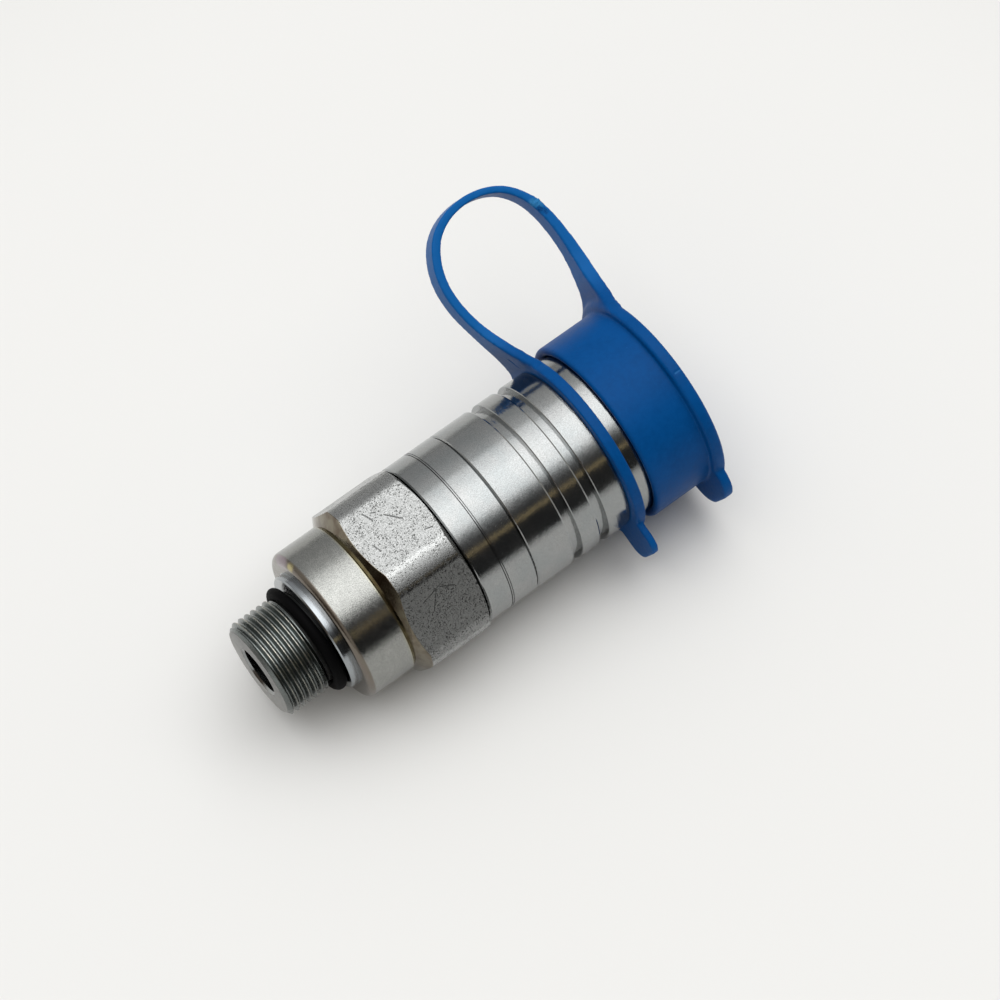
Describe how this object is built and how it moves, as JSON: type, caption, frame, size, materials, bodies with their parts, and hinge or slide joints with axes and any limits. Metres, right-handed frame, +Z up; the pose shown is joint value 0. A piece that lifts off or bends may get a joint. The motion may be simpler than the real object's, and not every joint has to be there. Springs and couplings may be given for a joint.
{
  "type": "hydraulic quick coupler",
  "caption": "Push-pull hydraulic quick coupler, female half: threaded stud end, hexagon, grooved sleeve around a sprung ball-lock socket, moulded dust cap on a strap.",
  "frame": {"origin": "on the axis, at the inner end of the stud's thread, where its O-ring groove begins", "axes": "+X along the axis from the stud to the cap, +Z up through one flat of the hexagon, +Y to the left seen from the stud"},
  "size_m": [0.1054, 0.0759, 0.0533],
  "materials": {
    "plated_steel": "zinc-plated steel, satin, worn, with dark pits and scratches and yellow-brown tint at the edges",
    "spring_steel": "dark oiled spring steel",
    "polished_steel": "polished bearing balls",
    "black_rubber": "matte black nitrile",
    "white_plastic": "plain white back-up ring",
    "blue_plastic": "soft moulded plastic, satin, lightly scuffed"
  },
  "bodies": {
    "shell": {"stud_body": "plated_steel", "stud_o_ring": "black_rubber", "rear_shell": "plated_steel", "shell_o_ring": "black_rubber", "front_sleeve": "plated_steel", "tail_o_ring": "black_rubber", "tail_backup_ring": "white_plastic"},
    "socket": {"socket": "plated_steel", "locking_balls": "polished_steel", "nose_o_ring": "black_rubber", "nose_backup_ring": "white_plastic", "tail_snap_ring": "spring_steel", "spring_washer": "plated_steel", "rear_centring_spring": "spring_steel", "front_centring_spring": "spring_steel", "valve_guide": "plated_steel", "guide_snap_ring": "spring_steel", "poppet_spring": "spring_steel"},
    "valve": {"poppet": "plated_steel", "poppet_seal": "black_rubber"},
    "tether": {"strap_ring": "blue_plastic", "cap_strap": "blue_plastic"},
    "cap": {"dust_cap": "blue_plastic"}
  },
  "joints": [
    {"name": "socket_slide", "type": "slide", "parent": "shell", "child": "socket", "axis": [1, 0, 0], "range_m": [-0.006, 0.006], "stiffness_N_per_m": 6000, "deforming": ["rear_centring_spring", "front_centring_spring"]},
    {"name": "poppet_slide", "type": "slide", "parent": "socket", "child": "valve", "axis": [1, 0, 0], "range_m": [-0.0065, 0], "stiffness_N_per_m": 1500, "springref_m": 0.004, "deforming": ["poppet_spring"]},
    {"name": "tether_swivel", "type": "hinge", "parent": "shell", "child": "tether", "pos_m": [0.07149, 0, 0], "axis": [1, 0, 0], "continuous": true},
    {"name": "cap_pull", "type": "slide", "parent": "tether", "child": "cap", "axis": [1, 0, 0], "range_m": [0, 0.024], "deforming": ["cap_strap"]}
  ]
}
